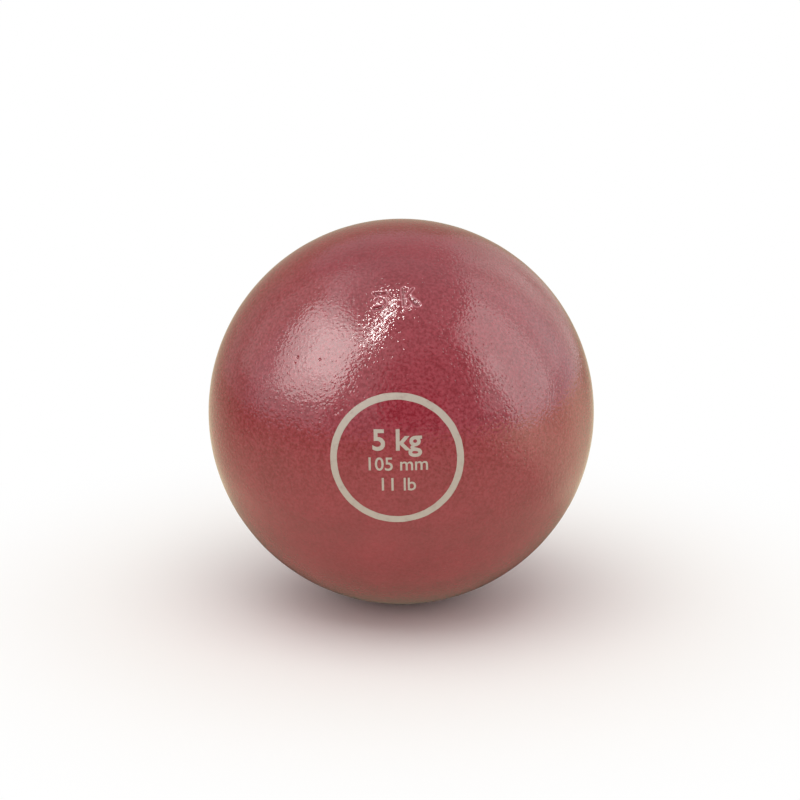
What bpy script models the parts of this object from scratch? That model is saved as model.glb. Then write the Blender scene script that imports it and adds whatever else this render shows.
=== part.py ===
"""A 5 kg shot for the shot put, 105 mm across, as four pieces that share one axis.

A ball of solid cast iron this small would be too light, so the ball is an iron shell run full of
lead. The lead is poured through a throat at the back, its riser is drilled for a slug that trims
the weight, and a screw plug with a hexagon socket closes the hole, flush with the ball.

Metres, +Z up. The origin is the ball's centre. The ball's printed face looks along -Y, and the plug
is on the +Y pole. Each piece is turned about the bore's axis, so each is drawn as a half section:
points (r, h), with r the distance from the axis and h the height along it.
"""
import math

import bmesh
import bpy

MM = 0.001

# Driving sizes of the ball and its cavity
BALL_DIAMETER = 105.0 * MM
WALL = 19.2 * MM
NECK_FILLET = 2.0 * MM

# Driving sizes of the filler hole and its plug
THREAD_DIAMETER = 24.0 * MM
SEAT_WIDTH = 3.3 * MM
SEAT_LAND = 5.0 * MM
MOUTH_CHAMFER = 0.5 * MM
PLUG_RIM_CHAMFER = 0.4 * MM
PLUG_LEAD_IN = 1.5 * MM
KEY_WIDTH = 12.0 * MM
KEY_FLOOR = 7.0 * MM
KEY_RIM = 0.3 * MM
BROACH_LAND = 0.3 * MM
DRILL_POINT_ANGLE = math.radians(118.0)
HEX_SIDES = 6

# Driving sizes of the lead that trims the weight
RISER_WALL = 3.4 * MM
SLUG_LENGTH = 11.5 * MM
SLUG_CHAMFER = 0.8 * MM

# Clearance that every two neighbouring surfaces keep
FIT_GAP = 0.3 * MM

# How finely the turned shapes are divided
SHELL_STEPS = 72
INNER_STEPS = 48
OUTSIDE_ARC_STEP = math.radians(5.0)
CAVITY_ARC_STEP = math.radians(10.0)
FILLET_ARC_STEPS = 4
WELD_DISTANCE = 0.001 * MM
SHARP_ANGLE = math.radians(30.0)
CUTTER_REACH = 2.0 * MM

# Radii that follow from the sizes above
BALL_RADIUS = BALL_DIAMETER / 2
CAVITY_RADIUS = BALL_RADIUS - WALL
PLUG_RADIUS = THREAD_DIAMETER / 2
BORE_RADIUS = PLUG_RADIUS + FIT_GAP
THROAT_RADIUS = BORE_RADIUS - SEAT_WIDTH
RISER_RADIUS = THROAT_RADIUS - FIT_GAP
POCKET_RADIUS = RISER_RADIUS - RISER_WALL
SLUG_RADIUS = POCKET_RADIUS - FIT_GAP
PILOT_RADIUS = KEY_WIDTH / 2 - BROACH_LAND
KEY_CORNER_RADIUS = KEY_WIDTH / 2 / math.cos(math.pi / HEX_SIDES)

# Heights along the bore's axis that follow from the sizes above
SEAT_HEIGHT = CAVITY_RADIUS + SEAT_LAND
PLUG_BASE = SEAT_HEIGHT + FIT_GAP
KEY_BASE = PLUG_BASE + KEY_FLOOR
POCKET_BASE = SEAT_HEIGHT - SLUG_LENGTH - FIT_GAP


def clear_scene():
    """Remove whatever objects the open file holds."""
    for old in list(bpy.data.objects):
        bpy.data.objects.remove(old, do_unlink=True)


def on_ball(radius, from_axis):
    """Height at which a ball of this radius is from_axis away from the bore's axis."""
    return math.sqrt(radius * radius - from_axis * from_axis)


def arc(centre, radius, start, end, steps):
    """Points on an arc of a half section; the angle is 0 along +h and grows towards +r."""
    points = []
    for i in range(steps + 1):
        angle = start + (end - start) * i / steps
        r = centre[0] + radius * math.sin(angle)
        h = centre[1] + radius * math.cos(angle)
        points.append((max(r, 0.0), h))
    return points


def steps_for(sweep, step):
    """How many equal steps of about this size an arc of this sweep takes."""
    return max(1, round(abs(sweep) / step))


def ball_with_neck(ball_radius, neck_radius, fillet):
    """Half section of the cavity or of the lead in it: up from the bottom and into the neck.

    The fillet between the two touches the neck's side and the ball. The cavity and the lead have
    their fillets round the same centre, so the gap between them is even.
    """
    centre_r = neck_radius + fillet
    centre_h = on_ball(ball_radius + fillet, centre_r)
    touch = math.atan2(centre_r, centre_h)
    ball_steps = steps_for(math.pi - touch, CAVITY_ARC_STEP)
    ball = arc((0.0, 0.0), ball_radius, math.pi, touch, ball_steps)
    neck = arc((centre_r, centre_h), fillet, math.pi + touch, 1.5 * math.pi, FILLET_ARC_STEPS)
    return ball + neck[1:]


def shell_section():
    """The iron: down the outside, then up through cavity, throat, seat and tapped bore."""
    mouth_radius = BORE_RADIUS + MOUTH_CHAMFER
    mouth_height = on_ball(BALL_RADIUS, mouth_radius)
    mouth_angle = math.asin(mouth_radius / BALL_RADIUS)
    equator = math.pi / 2
    upper_steps = steps_for(equator - mouth_angle, OUTSIDE_ARC_STEP)
    lower_steps = steps_for(equator, OUTSIDE_ARC_STEP)
    upper = arc((0.0, 0.0), BALL_RADIUS, mouth_angle, equator, upper_steps)
    lower = arc((0.0, 0.0), BALL_RADIUS, equator, math.pi, lower_steps)
    cavity = ball_with_neck(CAVITY_RADIUS, THROAT_RADIUS, NECK_FILLET)
    bore = [
        (THROAT_RADIUS, SEAT_HEIGHT),
        (BORE_RADIUS, SEAT_HEIGHT),
        (BORE_RADIUS, mouth_height - MOUTH_CHAMFER),
        (mouth_radius, mouth_height),
    ]
    return upper + lower[1:] + cavity + bore


def core_section():
    """The poured lead: its ball, the riser in the throat and the pocket drilled in the riser."""
    lead_radius = CAVITY_RADIUS - FIT_GAP
    outside = ball_with_neck(lead_radius, RISER_RADIUS, NECK_FILLET + FIT_GAP)
    drill_point = POCKET_RADIUS / math.tan(DRILL_POINT_ANGLE / 2)
    pocket = [
        (RISER_RADIUS, SEAT_HEIGHT),
        (POCKET_RADIUS, SEAT_HEIGHT),
        (POCKET_RADIUS, POCKET_BASE),
        (0.0, POCKET_BASE - drill_point),
    ]
    return outside + pocket


def slug_section():
    """The trimming slug, flush with the riser's top and one gap above the pocket's floor."""
    base = SEAT_HEIGHT - SLUG_LENGTH
    chamfer = min(SLUG_CHAMFER, SLUG_RADIUS / 2)
    return [
        (0.0, base),
        (SLUG_RADIUS - chamfer, base),
        (SLUG_RADIUS, base + chamfer),
        (SLUG_RADIUS, SEAT_HEIGHT - chamfer),
        (SLUG_RADIUS - chamfer, SEAT_HEIGHT),
        (0.0, SEAT_HEIGHT),
    ]


def plug_section():
    """The plug's blank: a shank of the thread's size with a face that carries on the ball."""
    rim_radius = PLUG_RADIUS - PLUG_RIM_CHAMFER
    rim_angle = math.asin(rim_radius / BALL_RADIUS)
    rim_height = on_ball(BALL_RADIUS, rim_radius)
    face_steps = steps_for(rim_angle, OUTSIDE_ARC_STEP)
    face = arc((0.0, 0.0), BALL_RADIUS, 0.0, rim_angle, face_steps)
    shank = [
        (PLUG_RADIUS, rim_height - PLUG_RIM_CHAMFER),
        (PLUG_RADIUS, PLUG_BASE + PLUG_LEAD_IN),
        (PLUG_RADIUS - PLUG_LEAD_IN, PLUG_BASE),
        (0.0, PLUG_BASE),
    ]
    return face + shank


def turned(name, section, steps):
    """Spin a half section once round the bore's axis and weld it into one closed mesh.

    A stretch of the section that runs along the axis itself sweeps nothing and is left out.
    """
    bm = bmesh.new()
    points = [bm.verts.new((r, 0.0, h)) for r, h in section]
    lines = []
    for start, end in zip(points, points[1:]):
        if max(start.co.x, end.co.x) > WELD_DISTANCE:
            lines.append(bm.edges.new((start, end)))
    bmesh.ops.spin(
        bm,
        geom=points + lines,
        cent=(0.0, 0.0, 0.0),
        axis=(0.0, 0.0, 1.0),
        angle=2 * math.pi,
        steps=steps,
        use_merge=True,
    )
    bmesh.ops.remove_doubles(bm, verts=bm.verts, dist=WELD_DISTANCE)
    bmesh.ops.dissolve_degenerate(bm, edges=bm.edges, dist=WELD_DISTANCE)
    return shaded(name, bm)


def hexagon(name):
    """The broached hexagon as a prism, from the socket's floor to well outside the ball."""
    bm = bmesh.new()
    corners = []
    for i in range(HEX_SIDES):
        angle = 2 * math.pi * (i + 0.5) / HEX_SIDES
        x = KEY_CORNER_RADIUS * math.cos(angle)
        y = KEY_CORNER_RADIUS * math.sin(angle)
        corners.append(bm.verts.new((x, y, KEY_BASE)))
    floor = bm.faces.new(corners)
    swept = bmesh.ops.extrude_face_region(bm, geom=[floor])
    raised = [item for item in swept["geom"] if isinstance(item, bmesh.types.BMVert)]
    bmesh.ops.translate(bm, verts=raised, vec=(0.0, 0.0, BALL_RADIUS + CUTTER_REACH - KEY_BASE))
    return shaded(name, bm)


def shaded(name, bm):
    """Turn the faces outward and shade the curved ones smooth."""
    bmesh.ops.recalc_face_normals(bm, faces=bm.faces)
    mesh = bpy.data.meshes.new(name)
    bm.to_mesh(mesh)
    bm.free()
    mesh.shade_smooth()
    mesh.set_sharp_from_angle(angle=SHARP_ANGLE)
    return mesh


def placed(mesh, axis):
    """Make an object of the mesh, under the mesh's name, and hang it on the bore's axis."""
    piece = bpy.data.objects.new(mesh.name, mesh)
    bpy.context.scene.collection.objects.link(piece)
    piece.parent = axis
    return piece


def pilot_section():
    """What the drill leaves before the hexagon is broached: a hole with a pointed end."""
    point = PILOT_RADIUS / math.tan(DRILL_POINT_ANGLE / 2)
    return [
        (0.0, BALL_RADIUS),
        (PILOT_RADIUS, BALL_RADIUS),
        (PILOT_RADIUS, KEY_BASE),
        (0.0, KEY_BASE - point),
    ]


def countersink_section():
    """The cone that breaks the socket's edge, down to the pilot hole's radius."""
    rim_radius = KEY_CORNER_RADIUS + KEY_RIM
    rim_height = on_ball(BALL_RADIUS, rim_radius)
    return [
        (0.0, rim_height + CUTTER_REACH),
        (rim_radius + CUTTER_REACH, rim_height + CUTTER_REACH),
        (PILOT_RADIUS, rim_height - (rim_radius - PILOT_RADIUS)),
        (0.0, rim_height - (rim_radius - PILOT_RADIUS)),
    ]


def cut(piece, mesh):
    """Take the mesh's volume out of the piece, with a wire tool and a modifier that stay."""
    tool = placed(mesh, piece.parent)
    tool.display_type = "WIRE"
    tool.hide_render = True
    boolean = piece.modifiers.new(tool.name, "BOOLEAN")
    boolean.operation = "DIFFERENCE"
    boolean.solver = "EXACT"
    boolean.object = tool


def finish(piece, colour, roughness, metallic):
    """Give the piece a material of its own."""
    material = bpy.data.materials.new(piece.name + "_finish")
    material.use_nodes = True
    shader = material.node_tree.nodes["Principled BSDF"]
    shader.inputs["Base Color"].default_value = (*colour, 1.0)
    shader.inputs["Roughness"].default_value = roughness
    shader.inputs["Metallic"].default_value = metallic
    material.diffuse_color = (*colour, 1.0)
    piece.data.materials.append(material)


def make_bore_axis():
    """The empty that all pieces hang on: its own Z points out of the filler hole, along +Y."""
    axis = bpy.data.objects.new("bore_axis", None)
    axis.rotation_euler = (math.radians(-90.0), 0.0, 0.0)
    bpy.context.scene.collection.objects.link(axis)
    return axis


def make_shell(axis):
    shell = placed(turned("shell", shell_section(), SHELL_STEPS), axis)
    finish(shell, colour=(0.26, 0.024, 0.045), roughness=0.28, metallic=0.0)


def make_lead(axis):
    core = placed(turned("lead_core", core_section(), INNER_STEPS), axis)
    finish(core, colour=(0.20, 0.21, 0.23), roughness=0.55, metallic=1.0)
    slug = placed(turned("trim_slug", slug_section(), INNER_STEPS), axis)
    finish(slug, colour=(0.30, 0.31, 0.33), roughness=0.42, metallic=1.0)


def make_plug(axis):
    plug = placed(turned("filler_plug", plug_section(), INNER_STEPS), axis)
    cut(plug, hexagon("key_hexagon"))
    cut(plug, turned("pilot_hole", pilot_section(), INNER_STEPS))
    cut(plug, turned("key_countersink", countersink_section(), INNER_STEPS))
    finish(plug, colour=(0.24, 0.022, 0.040), roughness=0.32, metallic=0.0)


def main():
    clear_scene()
    axis = make_bore_axis()
    make_shell(axis)
    make_lead(axis)
    make_plug(axis)


main()
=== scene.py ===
"""Looks of the 5 kg shot: a painted cast-iron ball with a struck mark, a printed ring and a plug.

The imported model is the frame. Metres, +Z up. The origin is the ball's centre, the printed face
looks along -Y, and the filler plug is on the +Y pole. A painted shell, with its cast and painted
unevenness in the mesh, and a painted plug replace the CAD shell and plug. The printed ring and
figures are films of ink on the shell. The lead inside keeps its CAD shape and gets its own finish.
"""
import math

import bmesh
import bpy
from mathutils import Matrix, Vector, noise


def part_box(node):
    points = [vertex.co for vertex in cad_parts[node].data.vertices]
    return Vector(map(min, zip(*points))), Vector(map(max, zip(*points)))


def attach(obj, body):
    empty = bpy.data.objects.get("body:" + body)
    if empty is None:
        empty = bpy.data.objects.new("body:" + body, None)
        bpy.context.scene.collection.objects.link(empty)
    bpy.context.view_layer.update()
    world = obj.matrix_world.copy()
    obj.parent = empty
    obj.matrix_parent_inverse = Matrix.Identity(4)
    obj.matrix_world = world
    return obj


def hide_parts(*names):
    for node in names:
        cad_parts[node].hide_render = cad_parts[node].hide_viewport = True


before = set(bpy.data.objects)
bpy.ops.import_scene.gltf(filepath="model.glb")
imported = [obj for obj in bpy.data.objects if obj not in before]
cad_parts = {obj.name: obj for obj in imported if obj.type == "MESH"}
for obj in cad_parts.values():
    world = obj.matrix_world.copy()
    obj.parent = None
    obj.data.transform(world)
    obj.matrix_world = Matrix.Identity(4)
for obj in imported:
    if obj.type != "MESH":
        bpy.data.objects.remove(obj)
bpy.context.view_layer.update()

MM = 0.001
DEGREE = math.radians(1.0)

# Sizes read from the frame
BALL_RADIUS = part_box("shell")[1].x
PLUG_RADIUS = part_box("filler_plug")[1].x
PLUG_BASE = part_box("filler_plug")[0].y
SEAT_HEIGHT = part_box("lead_core")[1].y
LEAD_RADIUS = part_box("lead_core")[1].x

# Sizes inside the shell that the frame's boxes don't give
FIT_GAP = 0.3 * MM
SEAT_WIDTH = 3.3 * MM
NECK_FILLET = 2.0 * MM
MOUTH_LIP = 0.5 * MM
BORE_RADIUS = PLUG_RADIUS + FIT_GAP
THROAT_RADIUS = BORE_RADIUS - SEAT_WIDTH
CAVITY_RADIUS = LEAD_RADIUS + FIT_GAP

# The painted skin: its mean radius leaves room for what stands proud of it
PROUD_ROOM = 0.08 * MM
PAINT_RADIUS = BALL_RADIUS - PROUD_ROOM

# How finely the shell is divided. Its rings have fewer vertices near the poles
ROW_STEP = 0.865 * DEGREE
EQUATOR_STEPS = 416
FEWEST_STEPS = 13
INNER_ROW_STEP = 6.0 * DEGREE
FILLET_STEPS = 5
LIP_ANGLES = (60.0 * DEGREE, 30.0 * DEGREE, 0.0)

# The shell's two finishes, in the order of its material slots
PAINTED = 0
BARE = 1

# Edges that turn by more than this stay sharp
SHELL_SHARP = 62.0 * DEGREE
PLUG_SHARP = 38.0 * DEGREE

# Unevenness of the casting under the paint: wavelength and height of each swell
SWELLS = (
    (19.0 * MM, 0.030 * MM),
    (6.5 * MM, 0.022 * MM),
    (2.6 * MM, 0.015 * MM),
)

# Pits and paint nibs on the front: longitude, latitude, radius and height
BLEMISHES = (
    (-34.1, 27.2, 0.45 * MM, -0.20 * MM),
    (-34.4, 25.4, 0.38 * MM, -0.13 * MM),
    (-25.9, 27.3, 0.42 * MM, -0.16 * MM),
    (-30.4, 30.7, 0.30 * MM, -0.10 * MM),
    (-15.6, 57.2, 0.26 * MM, 0.07 * MM),
    (7.0, 57.2, 0.24 * MM, 0.06 * MM),
    (10.2, 52.6, 0.28 * MM, 0.09 * MM),
    (13.1, 37.6, 0.24 * MM, 0.06 * MM),
    (-6.8, 13.6, 0.24 * MM, 0.07 * MM),
    (12.7, 7.9, 0.22 * MM, 0.05 * MM),
    (11.0, -18.0, 0.26 * MM, 0.09 * MM),
    (20.9, -10.2, 0.28 * MM, 0.09 * MM),
    (24.9, -14.6, 0.24 * MM, 0.07 * MM),
    (-17.3, -11.1, 0.24 * MM, 0.07 * MM),
    (-23.4, -16.6, 0.26 * MM, 0.08 * MM),
)

# How steeply a blemish falls away, and how many of its radii it reaches and needs fine faces for
BLEMISH_FALL = 1.6
BLEMISH_REACH = 2.5
BLEMISH_DETAIL = 2.0

# More of them on the sides and the back, spread evenly by the golden angle. Each strays from its
# even place by up to the drift, and takes a share, round a middle one, of the radii and heights
GOLDEN_ANGLE = math.pi * (3 - math.sqrt(5))
SCATTERED_COUNT = 54
SCATTERED_RADIUS = (0.22 * MM, 0.42 * MM)
SCATTERED_HEIGHT = (-0.15 * MM, 0.08 * MM)
SCATTERED_SHARE = (0.5, 0.9)
SCATTER_DRIFT = 0.7
SCATTER_CLEAR = 50.0 * DEGREE
DRIFT_NOISE = (1.7, 0.3, 0.0)
SHARE_NOISE = (0.83, 5.1, 2.2)

# The struck mass mark on the upper front
MARK_LONGITUDE = -2.6 * DEGREE
MARK_LATITUDE = 46.9 * DEGREE
MARK_REACH = 9.5 * MM
FIVE_CENTRE = (-3.95 * MM, -0.45 * MM)
LETTER_CENTRE = (3.3 * MM, 0.4 * MM)

# How blunt a groove's floor and edges are, how far from its middle it needs fine faces, and how
# often those faces are split
GROOVE_FLOOR = 0.10 * MM
GROOVE_ROUND = 0.20 * MM
STROKE_REACH = 1.25 * MM
REFINE_LEVELS = 3

# The mark's wear and painted light: paint worn pale by rubbing along a groove's edge, which also
# paints the highlight where the burrs catch the lamps, by how far outside the edge its middle lies
# and how far it reaches from there, and paint that gathered dark in the groove, which also paints
# the shade there, as deep as this
RUBBED_AND_LIT_RIM = (0.06 * MM, 0.26 * MM)
RUBBED_AND_LIT_TONE = (0.47, 0.150, 0.180)
POOLED_AND_SHADED_DEPTH = 0.36 * MM
POOLED_AND_SHADED_TONE = (0.150, 0.0040, 0.0120)

# The printed ring and figures on the lower front
PRINT_LONGITUDE = -1.22 * DEGREE
PRINT_LATITUDE = 0.85 * DEGREE
PRINT_TURN = 1.0 * DEGREE
RING_RADIUS = 16.7 * MM
RING_WIDTH = 1.7 * MM
RING_STEPS = 420
RING_ROWS = 5
INK_HEIGHT = 0.030 * MM
INK_DEPTH = 0.025 * MM
EDGE_WANDER = 0.07 * MM
EDGE_WAVE = 2.4 * MM
INNER_EDGE_SEED = 1.7 * MM
OUTER_EDGE_SEED = 9.1 * MM
WRAP_GRID = 0.6 * MM
FIGURE_CURVE_STEPS = 4

# Each line of figures: what it says, its size, its height over the ring's middle, and how much
# its strokes are thickened
FIGURE_ROWS = (
    ("5 kg", 7.4 * MM, 4.9 * MM, 0.020),
    ("105 mm", 4.8 * MM, -1.1 * MM, 0.008),
    ("11 lb", 4.8 * MM, -6.4 * MM, 0.008),
)

# How far apart the paint's clouds, mottle, grain, orange peel and dust nibs are
CLOUD_LENGTH = 16.0 * MM
MOTTLE_LENGTH = 3.4 * MM
GRAIN_LENGTH = 0.8 * MM
PEEL_LENGTH = 0.80 * MM
NIB_LENGTH = 0.95 * MM

# A nib's radius as a share of that, how much paler the paint is where it ran thin, the mottle's
# share of the colour, and how strongly the paint bends light
NIB_RADIUS = 0.42
THIN_GAIN = 1.20
MOTTLE_SHARE = 0.30
PAINT_IOR = 1.5

# The paint's grain: its two tones, and how much of it shows from the ball's foot to its top. It
# shows most on the upper front, where the lamps glint, and there its pale grain is partly a
# painted sparkle of highlights
GRAIN_DARK = (0.189, 0.0010, 0.0090)
GRAIN_PALE = (0.327, 0.0390, 0.0570)
GRAIN_AND_GLINT_COVER = (
    (0.30, (0.16, 0.16, 0.16)),
    (0.56, (0.72, 0.72, 0.72)),
    (0.86, (0.72, 0.72, 0.72)),
    (0.97, (0.28, 0.28, 0.28)),
)

# The plug and its socket
HEX_SIDES = 6
KEY_WIDTH = 12.0 * MM
KEY_FLOOR = 7.0 * MM
KEY_RIM = 0.3 * MM
CORNER_FILL = 0.12 * MM
BROACH_LAND = 0.3 * MM
DRILL_POINT_ANGLE = 118.0 * DEGREE
PLUG_LEAD_IN = 1.5 * MM
PLUG_RIM_CHAMFER = 0.4 * MM
PAINT_SOFTENING = 0.12 * MM
PLUG_STEPS = 192

# How the plug is divided: the points that round its rim, as shares of the chamfer inward and down,
# the steps of its outer face and of the socket's wall, and the shares of the way down the
# countersink, of the softening at the wall's foot and of the drill point's radius
RIM_ROUNDING = ((0.22, 0.62), (0.60, 0.24))
FACE_STEPS = 9
WALL_STEPS = 6
COUNTERSINK_SHARES = (0.0, 0.35, 0.7, 1.0)
FOOT_SHARE = 0.35
DRILL_SHARES = (0.75, 0.5, 0.25)

# Lamps, each by where it stands seen from the ball and how large it looks from there:
# azimuth from -Y towards +X, elevation, width, height and tilt in degrees, radiance, distance,
# and what sees it: the shading, the gloss, or both
LAMPS = {
    "overhead_key": (-20.0, 76.0, 58.0, 48.0, 0.0, 1.2, 1.6, "shading"),
    "overhead_left": (-86.0, 69.0, 36.0, 24.0, 0.0, 0.48, 1.6, "gloss"),
    "overhead_soft": (180.0, 88.0, 70.0, 50.0, 0.0, 0.2, 1.7, "gloss"),
    "front_fill": (0.0, 8.0, 70.0, 12.0, 0.0, 1.45, 1.6, "shading"),
    "strip_lamp": (-23.8, 66.9, 31.8, 1.6, 84.2, 62.0, 1.0, "gloss"),
    "left_softbox": (-63.5, 38.0, 46.0, 45.0, 5.0, 3.15, 1.1, "gloss"),
    "left_softbox_middle": (-61.0, 34.0, 35.0, 41.0, 7.0, 1.4, 1.1, "gloss"),
    "left_softbox_core": (-52.0, 39.5, 31.0, 27.0, 0.0, 2.5, 1.0, "gloss"),
    "left_softbox_top": (-84.0, 61.0, 18.0, 6.0, 0.0, 0.9, 1.1, "gloss"),
    "left_softbox_halo": (-42.0, 37.0, 52.0, 46.0, 0.0, 0.5, 1.0, "gloss"),
    "left_skirt": (-68.0, 9.0, 48.0, 15.0, 0.0, 0.9, 1.4, "gloss"),
    "left_wall": (-104.0, 38.0, 34.0, 58.0, 0.0, 0.62, 1.4, "gloss"),
    "right_panel": (79.0, 28.0, 36.0, 60.0, 9.0, 1.5, 1.1, "gloss"),
    "right_panel_wide": (90.0, 32.0, 56.0, 52.0, 12.0, 0.82, 1.2, "gloss"),
    "right_panel_corner": (59.0, 21.0, 20.0, 28.0, 0.0, 1.1, 1.1, "gloss"),
    "right_wall": (106.0, 20.0, 78.0, 80.0, 8.0, 0.58, 1.4, "gloss"),
    "right_wall_corner": (142.0, 34.0, 30.0, 28.0, 0.0, 0.35, 1.4, "gloss"),
    "light_from_below": (0.0, -90.0, 160.0, 160.0, 0.0, 0.07, 0.0515, "shading"),
}

# Cards that only the gloss sees, for the dim room behind the ball and the dark round the camera.
# Each has its azimuth, elevation, width and height in degrees, its colour and its distance
CARDS = {
    "room_behind": (196.0, 4.0, 78.0, 70.0, (0.54, 0.47, 0.35), 1.8),
    "room_behind_left": (236.0, 14.0, 40.0, 84.0, (0.74, 0.66, 0.56), 1.9),
    "room_behind_right": (148.0, 20.0, 36.0, 70.0, (0.90, 0.78, 0.70), 1.9),
    "dim_behind_top": (180.0, 50.0, 80.0, 30.0, (1.0, 0.84, 0.82), 1.9),
    "dim_front": (20.0, 24.0, 60.0, 44.0, (0.80, 0.74, 0.74), 1.9),
    "dark_by_camera": (6.0, 14.0, 34.0, 20.0, (0.34, 0.28, 0.30), 1.8),
}

# A table that only the gloss sees, round the middle of the ball's shadow, which is painted into
# its
# glow and lies a little behind the ball: its size, and its tones in front of the ball and behind
# it
PAINTED_SHADOW_BEHIND = 0.03
TABLE_SIZE = 5.0
TABLE_LIFT = 0.4 * MM
TABLE_SPAN = (-0.11, 0.02)
TABLE_TONES = ((0.0, (1.42, 1.36, 0.98)), (1.0, (0.95, 0.83, 0.58)))

# The tone is weaker far away, and gone in the ball's painted shadow
TABLE_DISTANCES = (0.14, 0.50)
TABLE_STRENGTHS = (0.94, 0.62)
PAINTED_TABLE_SHADOW = (0.035, 0.090)

# It is stronger straight to the right, a painted pool of light, by how far to the right a spot
# lies for its distance. A little is added to the distance, so that a spot near the middle counts
# for less
TABLE_TO_RIGHT = (0.60, 0.88)
TABLE_RIGHT_STRENGTHS = (0.50, 1.75)
TABLE_ADDED = 0.03
TABLE_FARTHEST = 4.0

# The camera: the photograph's angle, and the distance at which the ball has its size
CAMERA_ELEVATION = 14.0 * DEGREE
CAMERA_LENS = 90.0
CAMERA_SENSOR = 36.0
CAMERA_DISTANCE = 546.6 * MM
CAMERA_AIM_ABOVE = 3.08 * MM
CAMERA_AIM_LEFT = 0.32 * MM

# The lamps' colour, which the world shares, and the world's level
LAMP_COLOUR = (1.0, 0.985, 0.965)
WORLD_LEVEL = 0.72

# The floor, with its tones, and the distances between which it passes into white
FLOOR_RADIUS = 9.0
FLOOR_STEPS = 96
FLOOR_WAVE = 0.4
FLOOR_TONES = ((0.3, (0.945, 0.94, 0.93)), (0.7, (0.955, 0.95, 0.94)))
WHITE_SPAN = (0.045, 0.17)


def direction(longitude, latitude):
    """Unit vector from the ball's centre. Longitude 0 looks along -Y and grows towards +X."""
    level = math.cos(latitude)
    return Vector((math.sin(longitude) * level, -math.cos(longitude) * level, math.sin(latitude)))


def tangent_frame(longitude, latitude, turn=0.0):
    """Outward, right and up directions where a mark sits on the ball, turned anticlockwise."""
    out = direction(longitude, latitude)
    right = Vector((math.cos(longitude), math.sin(longitude), 0.0))
    up = out.cross(right)
    spin = Matrix.Rotation(turn, 3, out)
    return out, spin @ right, spin @ up


def onto_ball(tangent, x, y):
    """Direction of the ball's point that lies straight under x, y of a flat mark."""
    out, right, up = tangent
    height = math.sqrt(BALL_RADIUS * BALL_RADIUS - x * x - y * y)
    return (out * height + right * x + up * y).normalized()


def arc_points(centre, radius, start, end, steps):
    """Points on an arc in a plane, its angles measured anticlockwise from +x."""
    points = []
    for i in range(steps + 1):
        angle = start + (end - start) * i / steps
        points.append((centre[0] + radius * math.cos(angle), centre[1] + radius * math.sin(angle)))
    return points


def shifted(points, centre):
    """The same points, moved by the centre that they are drawn round."""
    return [(x + centre[0], y + centre[1]) for x, y in points]


def placed(strokes, centre):
    """Strokes in the mark's plane: points, half width in metres and slope of the walls."""
    return [(shifted(points, centre), width * MM, slope) for points, width, slope in strokes]


def five_strokes():
    """Strokes of the struck 5."""
    bar = [(-1.25 * MM, 2.30 * MM), (1.65 * MM, 2.38 * MM)]
    stem = [(-1.1 * MM, 2.2 * MM), (-0.65 * MM, 0.9 * MM)]
    bowl = arc_points((0.30 * MM, -0.55 * MM), 1.35 * MM, 150 * DEGREE, -62 * DEGREE, steps=12)
    tail = [(0.7 * MM, -1.95 * MM), (-1.05 * MM, -2.25 * MM)]
    strokes = ((bar, 0.62, 0.60), (stem, 0.32, 0.35), (bowl, 0.42, 0.42), (tail, 0.72, 0.58))
    return placed(strokes, FIVE_CENTRE)


def letter_strokes():
    """Strokes of the struck K: its punch slipped at the stem and bit deeper down the leg."""
    stem = [(-1.45 * MM, 2.9 * MM), (-0.95 * MM, -2.1 * MM)]
    slip = [(-1.05 * MM, 3.2 * MM), (-0.75 * MM, 1.6 * MM)]
    second_slip = [(-0.35 * MM, 3.0 * MM), (-0.65 * MM, 1.7 * MM)]
    arm = [(1.2 * MM, 3.1 * MM), (-0.35 * MM, 0.6 * MM)]
    leg_top = [(0.0 * MM, 0.6 * MM), (0.8 * MM, -0.15 * MM)]
    leg_middle = [(0.8 * MM, -0.15 * MM), (1.55 * MM, -0.9 * MM)]
    leg_foot = [(1.55 * MM, -0.9 * MM), (2.3 * MM, -1.6 * MM)]
    foot = arc_points((-0.9 * MM, -1.2 * MM), 1.96 * MM, 274 * DEGREE, 332 * DEGREE, steps=6)
    strokes = (
        (stem, 0.42, 0.56),
        (slip, 0.50, 0.20),
        (second_slip, 0.36, 0.24),
        (arm, 0.34, 0.34),
        (leg_top, 0.62, 0.27),
        (leg_middle, 0.78, 0.31),
        (leg_foot, 0.92, 0.35),
        (foot, 0.20, 0.30),
    )
    return placed(strokes, LETTER_CENTRE)


def front_blemishes():
    """The pits and nibs that have a place of their own."""
    points = []
    for longitude, latitude, radius, height in BLEMISHES:
        centre = direction(longitude * DEGREE, latitude * DEGREE) * BALL_RADIUS
        points.append((centre, radius, height))
    return points


def varied(i, line):
    """Noise from one scattered blemish to the next, along a line: its step, and where it lies."""
    step, y, z = line
    return noise.noise((i * step, y, z))


def scattered_blemishes():
    """Pits and nibs round the rest of the ball, in turn, their places and sizes varied."""
    points = []
    smallest, largest = SCATTERED_RADIUS
    middle, swing = SCATTERED_SHARE
    for i in range(SCATTERED_COUNT):
        latitude = math.asin(1 - (2 * i + 1) / SCATTERED_COUNT)
        longitude = GOLDEN_ANGLE * i + SCATTER_DRIFT * varied(i, DRIFT_NOISE)
        longitude = longitude % math.tau - math.pi
        if abs(longitude) < SCATTER_CLEAR:
            continue
        share = middle + swing * varied(i, SHARE_NOISE)
        radius = smallest + (largest - smallest) * share
        height = SCATTERED_HEIGHT[i % 2] * share
        points.append((direction(longitude, latitude) * BALL_RADIUS, radius, height))
    return points


MARK_FRAME = tangent_frame(MARK_LONGITUDE, MARK_LATITUDE)
PRINT_FRAME = tangent_frame(PRINT_LONGITUDE, PRINT_LATITUDE, PRINT_TURN)
STROKES = five_strokes() + letter_strokes()
BLEMISH_POINTS = front_blemishes() + scattered_blemishes()


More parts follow.
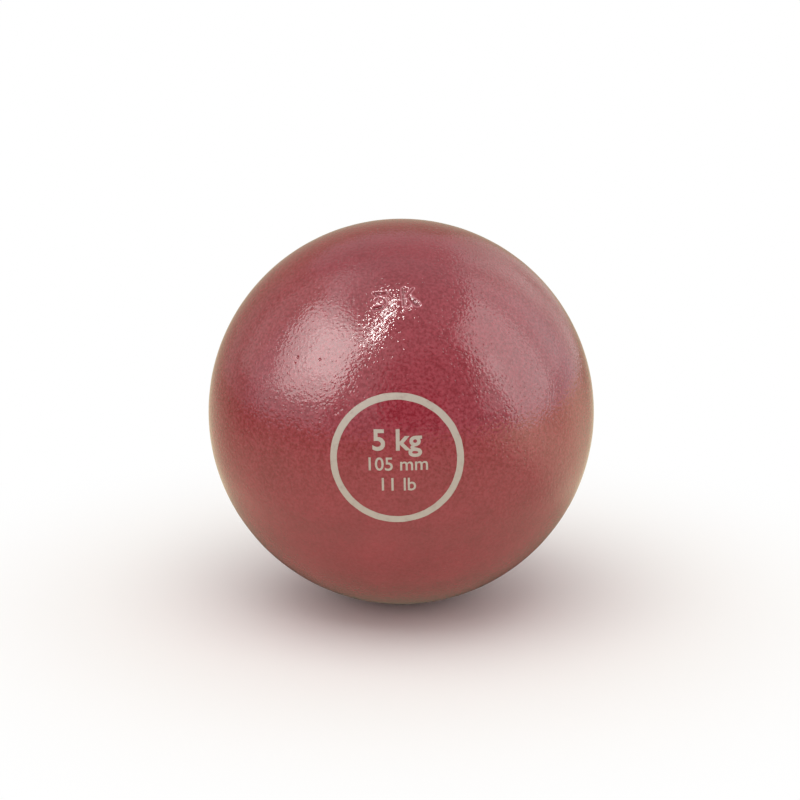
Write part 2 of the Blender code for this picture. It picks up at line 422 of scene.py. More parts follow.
def segment_distance(x, y, start, end):
    """Distance in the plane from x, y to the segment between start and end."""
    along_x = end[0] - start[0]
    along_y = end[1] - start[1]
    share = ((x - start[0]) * along_x + (y - start[1]) * along_y) / (along_x**2 + along_y**2)
    share = min(1.0, max(0.0, share))
    return math.hypot(x - start[0] - share * along_x, y - start[1] - share * along_y)


def stroke_distance(x, y, points):
    """Distance from x, y to the nearest point of a stroke."""
    return min(segment_distance(x, y, start, end) for start, end in zip(points, points[1:]))


def mark_coordinates(point):
    """Where a point of the ball lies in the struck mark's plane, or None when it is far away."""
    out, right, up = MARK_FRAME
    if (point - out * BALL_RADIUS).length > MARK_REACH:
        return None
    return point.dot(right), point.dot(up)


def swell(point):
    """Height of the casting's unevenness at a point of the ball."""
    return sum(height * noise.noise(point / length) for length, height in SWELLS)


def blemish(point):
    """Height of the pits and paint nibs at a point of the ball."""
    total = 0.0
    for centre, radius, height in BLEMISH_POINTS:
        distance = (point - centre).length
        if distance < BLEMISH_REACH * radius:
            total += height * math.exp(-((distance / radius) ** 2) * BLEMISH_FALL)
    return total


def groove_depth(distance, half_width, slope):
    """Depth of a V-shaped groove this far from its middle, its edges rounded by the paint."""
    inward = half_width - math.hypot(distance, GROOVE_FLOOR)
    return slope * (inward + math.hypot(inward, GROOVE_ROUND)) / 2


def struck(point):
    """Height of the skin in the struck grooves, which lie below it."""
    place = mark_coordinates(point)
    if place is None:
        return 0.0
    depths = []
    for points, half_width, slope in STROKES:
        depths.append(groove_depth(stroke_distance(*place, points), half_width, slope))
    return -max(depths)


def wear_and_painted_light(point):
    """How much the paint is worn pale here, with a painted highlight, and how much it gathered
    dark, with painted shade, each from 0 to 1.
    """
    place = mark_coordinates(point)
    if place is None:
        return 0.0, 0.0
    edge = min(stroke_distance(*place, points) - half_width for points, half_width, _ in STROKES)
    rim_middle, rim_reach = RUBBED_AND_LIT_RIM
    rubbed_and_lit = max(0.0, 1 - abs(edge - rim_middle) / rim_reach)
    pooled_and_shaded = min(1.0, -struck(point) / POOLED_AND_SHADED_DEPTH)
    return rubbed_and_lit, pooled_and_shaded


def store_wear_and_painted_light(mesh):
    """Keep the struck mark's wear, painted highlight and painted shade on the mesh, where the
    paint reads it.
    """
    rubbed_and_lit = mesh.attributes.new("rubbed_and_lit", "FLOAT", "POINT")
    pooled_and_shaded = mesh.attributes.new("pooled_and_shaded", "FLOAT", "POINT")
    for vertex, rim, floor in zip(mesh.vertices, rubbed_and_lit.data, pooled_and_shaded.data):
        rim.value, floor.value = wear_and_painted_light(vertex.co.normalized() * BALL_RADIUS)


def surface(unit, lift=0.0):
    """Point of the painted skin in a direction, lifted off it or sunk into it."""
    point = unit * BALL_RADIUS
    return unit * (PAINT_RADIUS + swell(point) + blemish(point) + struck(point) + lift)


def around_bore(radius, height, angle):
    """Point at this distance from the bore's axis, at this height along it."""
    return Vector((radius * math.cos(angle), height, radius * math.sin(angle)))


def on_ball(radius, from_axis):
    """Height at which a ball of this radius is from_axis away from the bore's axis."""
    return math.sqrt(radius * radius - from_axis * from_axis)


def add_row(bm, radius, height, steps):
    """One ring of vertices round the bore's axis."""
    return [bm.verts.new(around_bore(radius, height, math.tau * i / steps)) for i in range(steps)]


def join_rows(bm, wide, narrow, material=PAINTED):
    """Faces between two rings. The narrow one has as many vertices or half as many."""
    faces = []
    count = len(narrow)
    if len(wide) == count:
        for i in range(count):
            j = (i + 1) % count
            faces.append(bm.faces.new((wide[i], wide[j], narrow[j], narrow[i])))
    else:
        for i in range(count):
            j = (i + 1) % count
            left, middle, right = wide[2 * i], wide[2 * i + 1], wide[(2 * i + 2) % len(wide)]
            faces.append(bm.faces.new((left, middle, narrow[i])))
            faces.append(bm.faces.new((middle, narrow[j], narrow[i])))
            faces.append(bm.faces.new((middle, right, narrow[j])))
    for face in faces:
        face.material_index = material


def join_pole(bm, row, pole, material=PAINTED):
    """Faces from a ring to a single vertex on the axis."""
    for i, vertex in enumerate(row):
        face = bm.faces.new((vertex, row[(i + 1) % len(row)], pole))
        face.material_index = material


def steps_at(radius):
    """How many vertices a ring of this radius has: halved each time the radius halves."""
    steps = EQUATOR_STEPS
    limit = PAINT_RADIUS / 2
    while radius < limit and steps > FEWEST_STEPS:
        steps //= 2
        limit /= 2
    return steps


def add_outside(bm):
    """The skin from the mouth of the bore to the printed face, still a true ball."""
    mouth_angle = math.asin((BORE_RADIUS + MOUTH_LIP) / PAINT_RADIUS)
    rows = round((math.pi - mouth_angle) / ROW_STEP)
    last = None
    for k in range(rows):
        angle = mouth_angle + (math.pi - mouth_angle) * k / rows
        radius = PAINT_RADIUS * math.sin(angle)
        row = add_row(bm, radius, PAINT_RADIUS * math.cos(angle), steps_at(radius))
        if last is not None and len(row) > len(last):
            join_rows(bm, row, last)
        elif last is not None:
            join_rows(bm, last, row)
        last = row
    join_pole(bm, last, bm.verts.new((0.0, -PAINT_RADIUS, 0.0)))


def mouth_row(bm):
    """The skin's open edge at the mouth of the bore, in order round the axis."""
    edge = [vertex for vertex in bm.verts if vertex.is_boundary]
    return sorted(edge, key=lambda vertex: math.atan2(vertex.co.z, vertex.co.x) % math.tau)


def wants_detail(point, size):
    """Whether a face of this size, centred on this point, lies on a groove or a blemish."""
    place = mark_coordinates(point)
    if place is not None:
        for points, *_ in STROKES:
            if stroke_distance(*place, points) < STROKE_REACH + size:
                return True
    for centre, radius, _ in BLEMISH_POINTS:
        if (point - centre).length < radius * BLEMISH_DETAIL + size:
            return True
    return False


def refine_detail(bm):
    """Split the faces that carry the struck mark and the blemishes, several times over."""
    for _ in range(REFINE_LEVELS):
        chosen = set()
        for face in bm.faces:
            size = max(edge.calc_length() for edge in face.edges) / 2
            if wants_detail(face.calc_center_median(), size):
                chosen.update(face.edges)
        bmesh.ops.subdivide_edges(bm, edges=list(chosen), cuts=1, use_grid_fill=True)


def cavity_section():
    """Radii and heights from the mouth down through bore, seat, throat and cavity."""
    centre_r = THROAT_RADIUS + NECK_FILLET
    centre_h = on_ball(CAVITY_RADIUS + NECK_FILLET, centre_r)
    touch = math.atan2(centre_r, centre_h)
    mouth_height = on_ball(PAINT_RADIUS, BORE_RADIUS + MOUTH_LIP)
    points = []
    for angle in LIP_ANGLES:
        radius = BORE_RADIUS + MOUTH_LIP * (1 - math.cos(angle))
        points.append((radius, mouth_height - MOUTH_LIP * (1 - math.sin(angle))))
    points += [(BORE_RADIUS, SEAT_HEIGHT), (THROAT_RADIUS, SEAT_HEIGHT)]
    for i in range(FILLET_STEPS + 1):
        angle = math.pi / 2 - (math.pi / 2 - touch) * i / FILLET_STEPS
        radius = centre_r - NECK_FILLET * math.sin(angle)
        points.append((radius, centre_h - NECK_FILLET * math.cos(angle)))
    rows = round((math.pi - touch) / INNER_ROW_STEP)
    for i in range(1, rows):
        angle = touch + (math.pi - touch) * i / rows
        points.append((CAVITY_RADIUS * math.sin(angle), CAVITY_RADIUS * math.cos(angle)))
    return points


def add_inside(bm):
    """The bore, seat, throat and cavity, bare iron below the painted lip."""
    last = mouth_row(bm)
    for k, (radius, height) in enumerate(cavity_section()):
        row = add_row(bm, radius, height, len(last))
        join_rows(bm, last, row, PAINTED if k < len(LIP_ANGLES) else BARE)
        last = row
    join_pole(bm, last, bm.verts.new((0.0, -CAVITY_RADIUS, 0.0)), BARE)


def finished_mesh(name, bm, sharp_angle):
    """Mesh with outward faces, shaded smooth except across its sharp edges."""
    bmesh.ops.recalc_face_normals(bm, faces=bm.faces)
    mesh = bpy.data.meshes.new(name)
    bm.to_mesh(mesh)
    bm.free()
    mesh.shade_smooth()
    mesh.set_sharp_from_angle(angle=sharp_angle)
    return mesh


def place(mesh, materials, slot, replaced=()):
    """Put a piece in the frame: its finishes, its body and the nodes it stands for. The slot is
    not used.
    """
    piece = bpy.data.objects.new(mesh.name, mesh)
    bpy.context.scene.collection.objects.link(piece)
    for material in materials:
        mesh.materials.append(material)
    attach(piece, "root")
    if replaced:
        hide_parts(*replaced)
    return piece


def make_shell():
    """The iron shell with its paint."""
    bm = bmesh.new()
    add_outside(bm)
    refine_detail(bm)
    for vertex in bm.verts:
        vertex.co = surface(vertex.co.normalized())
    add_inside(bm)
    mesh = finished_mesh("painted_shell", bm, SHELL_SHARP)
    store_wear_and_painted_light(mesh)
    return place(mesh, [ball_paint(), bare_iron()], "ball_paint", ["shell"])


def edge_wander(angle, seed):
    """How far one of the ring's edges strays from a true circle here."""
    spot = Vector((RING_RADIUS * math.cos(angle), RING_RADIUS * math.sin(angle), seed))
    return EDGE_WANDER * noise.noise(spot / EDGE_WAVE)


def ring_row(bm, share, lift):
    """One ring of vertices across the printed band; share 0 is its inner edge, 1 its outer."""
    row = []
    for i in range(RING_STEPS):
        angle = math.tau * i / RING_STEPS
        inner = RING_RADIUS - RING_WIDTH + edge_wander(angle, INNER_EDGE_SEED)
        outer = RING_RADIUS + edge_wander(angle, OUTER_EDGE_SEED)
        radius = inner + (outer - inner) * share
        unit = onto_ball(PRINT_FRAME, radius * math.cos(angle), radius * math.sin(angle))
        row.append(bm.verts.new(surface(unit, lift)))
    return row


def make_printed_ring():
    """The ring of ink, a closed film that follows the skin under it."""
    bm = bmesh.new()
    rows = [ring_row(bm, k / (RING_ROWS - 1), INK_HEIGHT) for k in range(RING_ROWS)]
    rows += [ring_row(bm, 1 - k / (RING_ROWS - 1), -INK_DEPTH) for k in range(RING_ROWS)]
    for start, end in zip(rows, rows[1:] + rows[:1]):
        join_rows(bm, start, end)
    mesh = finished_mesh("printed_ring", bm, SHELL_SHARP)
    return place(mesh, [print_ink()], "ball_paint")


def flat_figures(body, size, weight):
    """Filled outlines of a line of figures, flat and centred, as a mesh in metres."""
    text = bpy.data.curves.new("figure_outline", "FONT")
    text.body = body
    text.size = 1.0
    text.offset = weight
    text.align_x = "CENTER"
    text.align_y = "CENTER"
    text.resolution_u = FIGURE_CURVE_STEPS
    carrier = bpy.data.objects.new("figure_carrier", text)
    bpy.context.scene.collection.objects.link(carrier)
    shown = carrier.evaluated_get(bpy.context.evaluated_depsgraph_get())
    mesh = bpy.data.meshes.new_from_object(shown)
    bpy.data.objects.remove(carrier, do_unlink=True)
    mesh.transform(Matrix.Scale(size, 4))
    return mesh


def slice_for_wrapping(bm, half_span):
    """Cut the flat figures along a grid, so that they can bend with the ball."""
    cuts = math.ceil(half_span / WRAP_GRID)
    for axis in (Vector((1.0, 0.0, 0.0)), Vector((0.0, 1.0, 0.0))):
        for i in range(-cuts, cuts + 1):
            geometry = bm.verts[:] + bm.edges[:] + bm.faces[:]
            bmesh.ops.bisect_plane(bm, geom=geometry, plane_co=axis * i * WRAP_GRID, plane_no=axis)


def make_printed_figures():
    """Plain figures of mass and diameter inside the ring, as a closed film of ink."""
    bm = bmesh.new()
    for body, size, height, weight in FIGURE_ROWS:
        mesh = flat_figures(body, size, weight)
        mesh.transform(Matrix.Translation((0.0, height, 0.0)))
        bm.from_mesh(mesh)
    slice_for_wrapping(bm, RING_RADIUS - RING_WIDTH)
    swept = bmesh.ops.extrude_face_region(bm, geom=bm.faces[:])
    raised = {item for item in swept["geom"] if isinstance(item, bmesh.types.BMVert)}
    for vertex in bm.verts:
        lift = INK_HEIGHT if vertex in raised else -INK_DEPTH
        vertex.co = surface(onto_ball(PRINT_FRAME, vertex.co.x, vertex.co.y), lift)
    mesh = finished_mesh("printed_figures", bm, SHELL_SHARP)
    return place(mesh, [print_ink()], "ball_paint")


def hexagon_radius(angle):
    """Distance from the axis to the socket's side. Corners, filled a little, point up and down."""
    sector = math.tau / HEX_SIDES
    side = KEY_WIDTH / 2 / math.cos((angle + sector / 2) % sector - sector / 2)
    corner = KEY_WIDTH / 2 / math.cos(sector / 2)
    return min(side, corner - CORNER_FILL)


def plug_rows():
    """The plug's rings as functions of the angle, from its base round to the socket's floor."""
    face_edge = PLUG_RADIUS - PLUG_RIM_CHAMFER
    edge_height = on_ball(PAINT_RADIUS, face_edge)
    rim_radius = KEY_WIDTH / 2 / math.cos(math.pi / HEX_SIDES) + KEY_RIM
    rim_height = on_ball(PAINT_RADIUS, rim_radius)
    floor = PLUG_BASE + KEY_FLOOR
    pilot = KEY_WIDTH / 2 - BROACH_LAND
    point = pilot / math.tan(DRILL_POINT_ANGLE / 2)
    rows = []

    def circle(radius, height):
        rows.append(lambda angle: (radius, height))

    def cone(share):
        start = rim_radius - PAINT_SOFTENING

        def ring(angle):
            radius = start + (hexagon_radius(angle) - start) * share
            return radius, rim_height - (rim_radius - radius)

        rows.append(ring)

    def wall(share):
        def ring(angle):
            radius = hexagon_radius(angle)
            top = rim_height - (rim_radius - radius) - PAINT_SOFTENING
            return radius, top + (floor + PAINT_SOFTENING - top) * share

        rows.append(ring)

    def land(inset, lift):
        rows.append(lambda angle: (hexagon_radius(angle) - inset, floor + lift))

    circle(PLUG_RADIUS - PLUG_LEAD_IN, PLUG_BASE)
    circle(PLUG_RADIUS, PLUG_BASE + PLUG_LEAD_IN)
    circle(PLUG_RADIUS, edge_height - PLUG_RIM_CHAMFER - PAINT_SOFTENING)
    for inward, down in RIM_ROUNDING:
        circle(PLUG_RADIUS - PLUG_RIM_CHAMFER * inward, edge_height - PLUG_RIM_CHAMFER * down)
    for i in range(FACE_STEPS + 1):
        radius = face_edge + (rim_radius + PAINT_SOFTENING - face_edge) * i / FACE_STEPS
        circle(radius, on_ball(PAINT_RADIUS, radius))
    for share in COUNTERSINK_SHARES:
        cone(share)
    for i in range(WALL_STEPS + 1):
        wall(i / WALL_STEPS)
    land(PAINT_SOFTENING * FOOT_SHARE, PAINT_SOFTENING * FOOT_SHARE)
    land(PAINT_SOFTENING, 0.0)
    circle(pilot, floor)
    for share in DRILL_SHARES:
        circle(pilot * share, floor - point * (1 - share))
    return rows, floor - point


def make_plug():
    """The screw plug with its hexagon socket, painted with the ball."""
    bm = bmesh.new()
    rows, socket_end = plug_rows()
    last = None
    for ring in rows:
        row = []
        for i in range(PLUG_STEPS):
            angle = math.tau * i / PLUG_STEPS
            row.append(bm.verts.new(around_bore(*ring(angle), angle)))
        if last is None:
            join_pole(bm, row, bm.verts.new((0.0, PLUG_BASE, 0.0)))
        else:
            join_rows(bm, last, row)
        last = row
    join_pole(bm, last, bm.verts.new((0.0, socket_end, 0.0)))
    for vertex in bm.verts:
        if vertex.co.y > PLUG_BASE + KEY_FLOOR:
            vertex.co += vertex.co.normalized() * swell(vertex.co)
    mesh = finished_mesh("painted_plug", bm, PLUG_SHARP)
    return place(mesh, [plug_paint()], "plug_paint", ["filler_plug"])


def new_material(name, **uniform):
    """Material with one Principled shader; uniform values are set on its own sockets."""
    material = bpy.data.materials.new(name)
    material.use_nodes = True
    tree = material.node_tree
    shader = tree.nodes["Principled BSDF"]
    for socket, value in uniform.items():
        shader.inputs[socket.replace("_", " ")].default_value = value
    return material, tree, shader


def object_space(tree):
    """Output that gives each point's place in metres, fixed to the object."""
    return tree.nodes.new("ShaderNodeTexCoord").outputs["Object"]


def noise_value(tree, place_output, wavelength, detail=2.0, roughness=0.5, distortion=0.0):
    """Output of a noise whose bumps are about one wavelength apart."""
    texture = tree.nodes.new("ShaderNodeTexNoise")
    texture.inputs["Scale"].default_value = 1.0 / wavelength
    texture.inputs["Detail"].default_value = detail
    texture.inputs["Roughness"].default_value = roughness
    texture.inputs["Distortion"].default_value = distortion
    tree.links.new(place_output, texture.inputs["Vector"])
    return texture.outputs["Fac"]


def ramp(tree, value, stops):
    """Colour ramp of a value: stops are places with a colour each."""
    made = tree.nodes.new("ShaderNodeValToRGB")
    elements = made.color_ramp.elements
    while len(elements) < len(stops):
        elements.new(0.5)
    for element, (position, colour) in zip(elements, stops):
        element.position = position
        element.color = (*colour, 1.0)
    tree.links.new(value, made.inputs["Fac"])
    return made.outputs["Color"]


def mixed(tree, share, first, second):
    """Mix of two colours by a value or by a plain share."""
    made = tree.nodes.new("ShaderNodeMix")
    made.data_type = "RGBA"
    for socket, value in (("Factor", share), ("A", first), ("B", second)):
        target = [i for i in made.inputs if i.name == socket and i.enabled][0]
        if isinstance(value, bpy.types.NodeSocket):
            tree.links.new(value, target)
        elif socket == "Factor":
            target.default_value = value
        else:
            target.default_value = (*value, 1.0)
    return [o for o in made.outputs if o.enabled][0]


def stored(tree, name):
    """A value that the mesh keeps at each vertex, or 0 where it keeps none."""
    made = tree.nodes.new("ShaderNodeAttribute")
    made.attribute_name = name
    return made.outputs["Fac"]


def ranged(tree, value, low, high, span_from=(0.3, 0.7)):
    """A value's span, a noise's middle range unless it is named, spread between two values."""
    made = tree.nodes.new("ShaderNodeMapRange")
    made.inputs["From Min"].default_value = span_from[0]
    made.inputs["From Max"].default_value = span_from[1]
    made.inputs["To Min"].default_value = low
    made.inputs["To Max"].default_value = high
    tree.links.new(value, made.inputs["Value"])
    return made.outputs["Result"]


def combined(tree, operation, first, second):
    """One value made of two by an operation, such as the first divided by the second."""
    made = tree.nodes.new("ShaderNodeMath")
    made.operation = operation
    tree.links.new(first, made.inputs[0])
    tree.links.new(second, made.inputs[1])
    return made.outputs["Value"]


def distance_from_middle(tree, place_output):
    """Each point's distance from the object's own middle."""
    away = tree.nodes.new("ShaderNodeVectorMath")
    away.operation = "LENGTH"
    tree.links.new(place_output, away.inputs[0])
    return away.outputs["Value"]


def bumped(tree, height, depth, under=None):
    """Normal of a surface whose height varies by this depth, laid over another normal."""
    made = tree.nodes.new("ShaderNodeBump")
    made.inputs["Distance"].default_value = depth
    tree.links.new(height, made.inputs["Height"])
    if under is not None:
        tree.links.new(under, made.inputs["Normal"])
    return made.outputs["Normal"]


def dust_nibs(tree, place_output):
    """Height of small round grains under the paint, some way apart and uneven in size."""
    cells = tree.nodes.new("ShaderNodeTexVoronoi")
    cells.inputs["Scale"].default_value = 1.0 / NIB_LENGTH
    tree.links.new(place_output, cells.inputs["Vector"])
    grain = ranged(tree, cells.outputs["Distance"], 0.0, 1.0, (NIB_RADIUS, 0.0))
    grain.node.interpolation_type = "SMOOTHSTEP"
    chance = tree.nodes.new("ShaderNodeSeparateColor")
    tree.links.new(cells.outputs["Color"], chance.inputs["Color"])
    return combined(tree, "MULTIPLY", grain, chance.outputs["Red"])


def paint_normal(tree, place_output, peel_depth, nib_depth):
    """Normal of dipped gloss paint: orange peel with grains of dust under it."""
    peel = noise_value(tree, place_output, PEEL_LENGTH, detail=1.0, roughness=0.45)
    broad = bumped(tree, peel, peel_depth)
    return bumped(tree, dust_nibs(tree, place_output), nib_depth, broad)


def gloss_paint(name, deep, full, peel_depth, nib_depth, smooth, rough):
    """Dark red gloss paint: mottled where it ran thick or thin, with grain and painted glints on
    the upper side, and painted shade and highlight in the struck mark.
    """
    material, tree, shader = new_material(name, IOR=PAINT_IOR)
    spot = object_space(tree)
    clouds = noise_value(tree, spot, CLOUD_LENGTH, detail=3.0, roughness=0.6)
    mottle = noise_value(tree, spot, MOTTLE_LENGTH, detail=2.0, roughness=0.6)
    grain = noise_value(tree, spot, GRAIN_LENGTH, detail=1.0, roughness=0.6)
    thin = tuple(THIN_GAIN * channel for channel in full)
    wash = ramp(tree, clouds, ((0.34, deep), (0.52, full), (0.70, thin)))
    speck = ramp(tree, mottle, ((0.36, deep), (0.64, full)))
    base = mixed(tree, MOTTLE_SHARE, wash, speck)
    height = tree.nodes.new("ShaderNodeSeparateXYZ")
    tree.links.new(spot, height.inputs["Vector"])
    # How much grain shows by height: most on the upper front, where it partly paints the lamps'
    # glints
    cover = ranged(tree, height.outputs["Z"], 0.0, 1.0, (-BALL_RADIUS, BALL_RADIUS))
    share = ramp(tree, cover, GRAIN_AND_GLINT_COVER)
    grain_and_glints = ramp(tree, grain, ((0.34, GRAIN_DARK), (0.66, GRAIN_PALE)))
    plain = mixed(tree, share, base, grain_and_glints)
    # Painted shade in the struck grooves, with the paint gathered there, and a painted highlight
    # along their rims, with the worn paint
    shaded_grooves = mixed(tree, stored(tree, "pooled_and_shaded"), plain, POOLED_AND_SHADED_TONE)
    worn = mixed(tree, stored(tree, "rubbed_and_lit"), shaded_grooves, RUBBED_AND_LIT_TONE)
    tree.links.new(worn, shader.inputs["Base Color"])
    tree.links.new(ranged(tree, clouds, smooth, rough), shader.inputs["Roughness"])
    tree.links.new(paint_normal(tree, spot, peel_depth, nib_depth), shader.inputs["Normal"])
    return material


def ball_paint():
    """The paint on the ball: glossy, over the cast skin."""
    return gloss_paint(
        "ball_paint",
        deep=(0.198, 0.0145, 0.0240),
        full=(0.245, 0.0200, 0.0330),
        peel_depth=0.081 * MM,
        nib_depth=0.062 * MM,
        smooth=0.06,
        rough=0.10,
    )


def plug_paint():
    """The same paint on the turned plug: smoother, and duller."""
    return gloss_paint(
        "plug_paint",
        deep=(0.190, 0.0100, 0.0220),
        full=(0.240, 0.0145, 0.0300),
        peel_depth=0.050 * MM,
        nib_depth=0.020 * MM,
        smooth=0.17,
        rough=0.26,
    )


def bare_iron():
    """Cast iron inside the shell: dark, grainy and dull."""
    material, tree, shader = new_material("bare_iron", Metallic=1.0)
    spot = object_space(tree)
    grain = noise_value(tree, spot, 1.1 * MM, detail=4.0, roughness=0.65)
    colour = ramp(tree, grain, ((0.3, (0.055, 0.052, 0.050)), (0.7, (0.14, 0.135, 0.13))))
    tree.links.new(colour, shader.inputs["Base Color"])
    tree.links.new(ranged(tree, grain, 0.55, 0.75), shader.inputs["Roughness"])
    tree.links.new(bumped(tree, grain, 0.12 * MM), shader.inputs["Normal"])
    return material


def print_ink():
    """Pale grey printing ink, thinner in places, over the paint's own texture."""
    material, tree, shader = new_material("print_ink", IOR=PAINT_IOR)
    spot = object_space(tree)
    cover = noise_value(tree, spot, 1.8 * MM, detail=3.0, roughness=0.6)
    pale = (0.415, 0.355, 0.30)
    worn = (0.35, 0.27, 0.23)
    colour = ramp(tree, cover, ((0.28, worn), (0.44, pale), (0.75, (0.44, 0.38, 0.32))))
    tree.links.new(colour, shader.inputs["Base Color"])
    tree.links.new(ranged(tree, cover, 0.46, 0.34), shader.inputs["Roughness"])
    tree.links.new(paint_normal(tree, spot, 0.045 * MM, 0.012 * MM), shader.inputs["Normal"])
    return material


def poured_lead():
    """Lead as it was poured: dull blue-grey with a patchy oxide skin."""
    material, tree, shader = new_material("poured_lead", Metallic=1.0)
    spot = object_space(tree)
    skin = noise_value(tree, spot, 9.0 * MM, detail=5.0, roughness=0.6, distortion=0.6)
    colour = ramp(tree, skin, ((0.32, (0.13, 0.135, 0.15)), (0.68, (0.26, 0.27, 0.29))))
    tree.links.new(colour, shader.inputs["Base Color"])
    tree.links.new(ranged(tree, skin, 0.62, 0.44), shader.inputs["Roughness"])
    tree.links.new(bumped(tree, skin, 0.3 * MM), shader.inputs["Normal"])
    return material


def cut_lead():
    """Freshly turned lead: brighter, with the tool's fine rings round the bore's axis."""
    material, tree, shader = new_material("cut_lead", Metallic=1.0)
    spot = object_space(tree)
    rings = tree.nodes.new("ShaderNodeTexWave")
    rings.wave_type = "RINGS"
    rings.rings_direction = "Y"
    rings.inputs["Scale"].default_value = 1.0 / (2.2 * MM)
    rings.inputs["Distortion"].default_value = 0.8
    tree.links.new(spot, rings.inputs["Vector"])
    tone = noise_value(tree, spot, 3.0 * MM, detail=3.0)
    colour = ramp(tree, tone, ((0.3, (0.25, 0.26, 0.28)), (0.7, (0.36, 0.37, 0.39))))
    tree.links.new(colour, shader.inputs["Base Color"])
    tree.links.new(ranged(tree, tone, 0.36, 0.48), shader.inputs["Roughness"])
    tree.links.new(bumped(tree, rings.outputs["Fac"], 0.02 * MM), shader.inputs["Normal"])
    return material


def dress_lead():
    """Give the lead core and the trimming slug, which keep their CAD shape, their finish."""
    for node, material in (("lead_core", poured_lead()), ("trim_slug", cut_lead())):
        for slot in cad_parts[node].material_slots:
            slot.material = material


def sees_white(tree):
    """Output that is 1 for camera, glossy and transmission rays, which see white surroundings."""
    path = tree.nodes.new("ShaderNodeLightPath")
    seen = path.outputs["Is Camera Ray"]
    for name in ("Is Glossy Ray", "Is Transmission Ray"):
        seen = combined(tree, "MAXIMUM", seen, path.outputs[name])
    return seen


def add_floor():
    """Plain pale floor under the ball, which passes into white away from the ball's shadow."""
    bm = bmesh.new()
    bmesh.ops.create_circle(bm, cap_ends=True, radius=FLOOR_RADIUS, segments=FLOOR_STEPS)
    mesh = bpy.data.meshes.new("floor")
    bm.to_mesh(mesh)
    bm.free()
    floor = bpy.data.objects.new("floor", mesh)
    floor.location.z = -BALL_RADIUS
    bpy.context.scene.collection.objects.link(floor)
    material, tree, shader = new_material("pale_floor", Roughness=0.9, Specular_IOR_Level=0.1)
    spot = object_space(tree)
    tone = noise_value(tree, spot, FLOOR_WAVE, detail=2.0)
    tree.links.new(ramp(tree, tone, FLOOR_TONES), shader.inputs["Base Color"])
    fade = ranged(tree, distance_from_middle(tree, spot), 0.0, 1.0, WHITE_SPAN)
    fade.node.interpolation_type = "SMOOTHERSTEP"
    share = combined(tree, "MULTIPLY", fade, sees_white(tree))
    white = tree.nodes.new("ShaderNodeEmission")
    white.inputs["Strength"].default_value = 1.0
    blend = tree.nodes.new("ShaderNodeMixShader")
    tree.links.new(share, blend.inputs["Fac"])
    tree.links.new(shader.outputs["BSDF"], blend.inputs[1])
    tree.links.new(white.outputs["Emission"], blend.inputs[2])
    tree.links.new(blend.outputs["Shader"], tree.nodes["Material Output"].inputs["Surface"])
    mesh.materials.append(material)


def add_world():
    """White surroundings for what sees them, and a plain level of soft light for the rest."""
    world = bpy.data.worlds.new("studio")
    bpy.context.scene.world = world
    world.use_nodes = True
    tree = world.node_tree
    tree.nodes.clear()
    soft = tree.nodes.new("ShaderNodeBackground")
    soft.inputs["Color"].default_value = (*LAMP_COLOUR, 1.0)
    soft.inputs["Strength"].default_value = WORLD_LEVEL
    white = tree.nodes.new("ShaderNodeBackground")
    white.inputs["Color"].default_value = (1.0, 1.0, 1.0, 1.0)
    white.inputs["Strength"].default_value = 1.0
    mix = tree.nodes.new("ShaderNodeMixShader")
    tree.links.new(sees_white(tree), mix.inputs["Fac"])
    tree.links.new(soft.outputs["Background"], mix.inputs[1])
    tree.links.new(white.outputs["Background"], mix.inputs[2])
    output = tree.nodes.new("ShaderNodeOutputWorld")
    tree.links.new(mix.outputs["Shader"], output.inputs["Surface"])


def facing_ball(azimuth, elevation, tilt, distance):
    """Placement of a flat thing that looks at the ball, its width level before it is tilted."""
    out, side, up = tangent_frame(azimuth * DEGREE, elevation * DEGREE, tilt * DEGREE)
    rotation = Matrix((side, up, out)).transposed()
    return Matrix.Translation(out * distance) @ rotation.to_4x4()


def span(angle, distance):
    """Length that looks this many degrees long from this distance."""
    return 2 * distance * math.tan(angle * DEGREE / 2)


def add_lamp(name, azimuth, elevation, width, height, tilt, radiance, distance, seen_by):
    """Area lamp of an even radiance, unseen by the camera."""
    data = bpy.data.lights.new(name, "AREA")
    data.shape = "RECTANGLE"
    data.size = span(width, distance)
    data.size_y = span(height, distance)
    data.energy = radiance * math.pi * data.size * data.size_y
    data.color = LAMP_COLOUR
    lamp = bpy.data.objects.new(name, data)
    lamp.matrix_world = facing_ball(azimuth, elevation, tilt, distance)
    lamp.visible_camera = False
    lamp.visible_diffuse = seen_by != "gloss"
    lamp.visible_glossy = seen_by != "shading"
    bpy.context.scene.collection.objects.link(lamp)


def glowing_material(name):
    """Material that only emits, with the node that gives it its colour still to be set."""
    material = bpy.data.materials.new(name)
    material.use_nodes = True
    tree = material.node_tree
    tree.nodes.clear()
    glow = tree.nodes.new("ShaderNodeEmission")
    output = tree.nodes.new("ShaderNodeOutputMaterial")
    tree.links.new(glow.outputs["Emission"], output.inputs["Surface"])
    return material, tree, glow


def hang_card(name, wide, high, material, placement):
    """Flat card that only the gloss sees."""
    bm = bmesh.new()
    corners = [(-0.5, -0.5), (0.5, -0.5), (0.5, 0.5), (-0.5, 0.5)]
    bm.faces.new([bm.verts.new((x * wide, y * high, 0.0)) for x, y in corners])
    mesh = bpy.data.meshes.new(name)
    bm.to_mesh(mesh)
    bm.free()
    mesh.materials.append(material)
    card = bpy.data.objects.new(name, mesh)
    card.matrix_world = placement
    for ray in ("camera", "diffuse", "transmission", "shadow"):
        setattr(card, "visible_" + ray, False)
    bpy.context.scene.collection.objects.link(card)


def add_card(name, azimuth, elevation, width, height, colour, distance):
    """Card of one colour that hangs round the ball, in front of the white surroundings."""
    material, _, glow = glowing_material(name)
    glow.inputs["Color"].default_value = (*colour, 1.0)
    placement = facing_ball(azimuth, elevation, 0.0, distance)
    hang_card(name, span(width, distance), span(height, distance), material, placement)


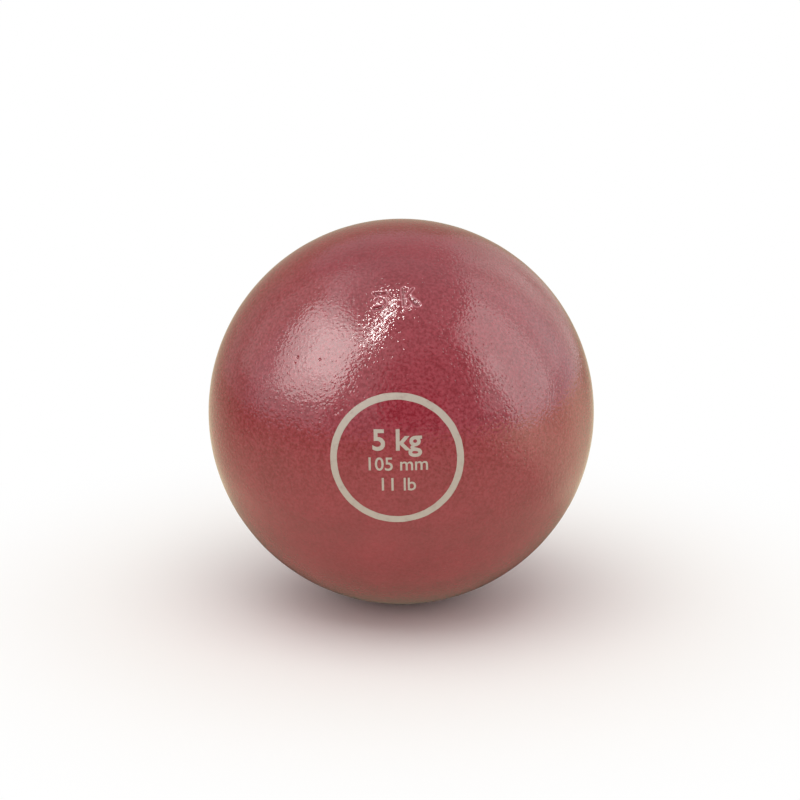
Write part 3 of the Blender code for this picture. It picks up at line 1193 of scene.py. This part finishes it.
def add_table_card():
    """Card that lies on the floor: a glowing tan table, with the ball's shadow and a pool of light
    to the right painted into its glow.
    """
    material, tree, glow = glowing_material("table_glow_with_painted_shadow")
    spot = object_space(tree)
    split = tree.nodes.new("ShaderNodeSeparateXYZ")
    tree.links.new(spot, split.inputs["Vector"])
    along = ranged(tree, split.outputs["Y"], 0.0, 1.0, TABLE_SPAN)
    away = distance_from_middle(tree, spot)
    reach = ranged(tree, away, TABLE_ADDED, TABLE_FARTHEST + TABLE_ADDED, (0.0, TABLE_FARTHEST))
    # Painted pool of light on the table, stronger straight to the right
    to_right = combined(tree, "DIVIDE", split.outputs["X"], reach)
    painted_light_to_right = ranged(tree, to_right, *TABLE_RIGHT_STRENGTHS, TABLE_TO_RIGHT)
    plain = ranged(tree, away, *TABLE_STRENGTHS, TABLE_DISTANCES)
    strength = combined(tree, "MAXIMUM", painted_light_to_right, plain)
    # Painted shadow of the ball: the glow fades to nothing round the shadow's middle
    clear = ranged(tree, away, 0.0, 1.0, PAINTED_TABLE_SHADOW)
    tree.links.new(ramp(tree, along, TABLE_TONES), glow.inputs["Color"])
    tree.links.new(combined(tree, "MULTIPLY", strength, clear), glow.inputs["Strength"])
    placement = Matrix.Translation((0.0, PAINTED_SHADOW_BEHIND, -BALL_RADIUS + TABLE_LIFT))
    hang_card("table_glow_with_painted_shadow", TABLE_SIZE, TABLE_SIZE, material, placement)


def add_studio():
    """Every lamp and card round the ball."""
    for name, values in LAMPS.items():
        add_lamp(name, *values)
    for name, values in CARDS.items():
        add_card(name, *values)
    add_table_card()


def add_camera():
    """Camera at the photograph's angle."""
    data = bpy.data.cameras.new("camera")
    data.lens = CAMERA_LENS
    data.sensor_width = CAMERA_SENSOR
    camera = bpy.data.objects.new("camera", data)
    towards = direction(0.0, CAMERA_ELEVATION)
    up = Vector((0.0, math.sin(CAMERA_ELEVATION), math.cos(CAMERA_ELEVATION)))
    aim = up * CAMERA_AIM_ABOVE - Vector((CAMERA_AIM_LEFT, 0.0, 0.0))
    camera.location = towards * CAMERA_DISTANCE + aim
    camera.rotation_euler = towards.to_track_quat("Z", "Y").to_euler()
    bpy.context.scene.collection.objects.link(camera)
    bpy.context.scene.camera = camera


make_shell()
make_printed_ring()
make_printed_figures()
make_plug()
dress_lead()
add_floor()
add_world()
add_studio()
add_camera()
bpy.context.scene.view_settings.view_transform = "Standard"
